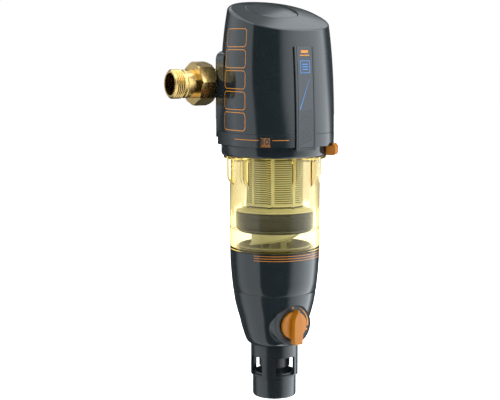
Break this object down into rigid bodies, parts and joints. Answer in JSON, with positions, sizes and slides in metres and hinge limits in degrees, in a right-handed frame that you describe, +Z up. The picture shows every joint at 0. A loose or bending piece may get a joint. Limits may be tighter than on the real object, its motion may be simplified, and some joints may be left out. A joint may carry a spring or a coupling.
{
  "type": "backwash water filter",
  "caption": "Pipe mounted backwash water filter with a tapered hood, unions, a month dial, a clear strainer cup, a drain valve with a turning knob and an air gap outlet.",
  "frame": {"origin": "on the water pipe's axis, midway between the two unions", "axes": "+X along the pipe from inlet to outlet, +Z up, the front with the knob faces -Y; the filter's own upright axis is 45 mm in front of the pipe"},
  "size_m": [0.205, 0.1351, 0.4514],
  "materials": {
    "anthracite": "glossy, dark grey",
    "dark_plastic": "matt, nearly black",
    "orange_plastic": "satin orange",
    "amber_clear": "clear, amber tinted",
    "clear_plastic": "clear",
    "natural_plastic": "unpainted, off white",
    "label_film": "printed film",
    "brass": "machined",
    "steel": "stainless",
    "mesh_steel": "fine stainless mesh",
    "rubber": "black",
    "seat_plastic": "white, low friction"
  },
  "bodies": {
    "frame": {"base_ring": "anthracite", "window_lens": "clear_plastic", "head_body": "dark_plastic", "head_cap": "dark_plastic", "head_cap_seal": "rubber", "connection_tee": "brass", "flange_gasket": "rubber", "flange_bolt_1": "steel", "flange_bolt_2": "steel", "flange_bolt_3": "steel", "flange_bolt_4": "steel", "inlet_union_nut": "brass", "inlet_tailpiece": "brass", "inlet_gasket": "rubber", "outlet_union_nut": "brass", "outlet_tailpiece": "brass", "outlet_gasket": "rubber", "filter_cup": "amber_clear", "cup_seal": "rubber", "guide_rod": "steel", "sump_funnel": "natural_plastic", "outlet_cage": "natural_plastic", "upper_shroud": "anthracite", "valve_housing": "anthracite", "upper_ball_seat": "seat_plastic", "lower_ball_seat": "seat_plastic", "stem_seal": "rubber", "dial_ring": "anthracite", "air_gap_neck": "anthracite", "inner_nozzle": "dark_plastic", "drain_spigot": "anthracite"},
    "hood": {"hood": "anthracite", "hood_top_cap": "anthracite", "rail_frame": "anthracite", "label_strip": "label_film", "rear_cover": "anthracite"},
    "month_dial": {"month_ring": "anthracite", "number_band": "orange_plastic", "month_tab": "orange_plastic"},
    "knob": {"drain_knob": "orange_plastic", "knob_screw": "steel", "valve_stem": "brass", "valve_ball": "steel"},
    "insert": {"strainer_cage": "natural_plastic", "strainer_mesh": "mesh_steel", "strainer_seal": "rubber", "strainer_collar": "natural_plastic", "backwash_piston": "dark_plastic", "piston_seal": "rubber", "guide_drum": "natural_plastic", "return_spring": "steel"},
    "rotor": {"spray_rotor": "dark_plastic"}
  },
  "joints": [
    {"name": "knob_turn", "type": "hinge", "parent": "frame", "child": "knob", "pos_m": [0, -0.045, -0.27], "axis": [0, 1, 0], "range_deg": [0, 90]},
    {"name": "month_turn", "type": "hinge", "parent": "frame", "child": "month_dial", "pos_m": [0, -0.045, -0.074], "axis": [0, 0, 1], "range_deg": [-20, 90]},
    {"name": "insert_slide", "type": "slide", "parent": "frame", "child": "insert", "axis": [0, 0, 1], "range_m": [-0.008, 0], "stiffness_N_per_m": 400, "springref_m": 0.01, "deforming": ["return_spring"]},
    {"name": "rotor_spin", "type": "hinge", "parent": "frame", "child": "rotor", "pos_m": [0, -0.045, -0.11], "axis": [0, 0, 1], "continuous": true},
    {"name": "hood_lift", "type": "slide", "parent": "frame", "child": "hood", "axis": [0, 0, 1], "range_m": [0, 0.19]}
  ]
}
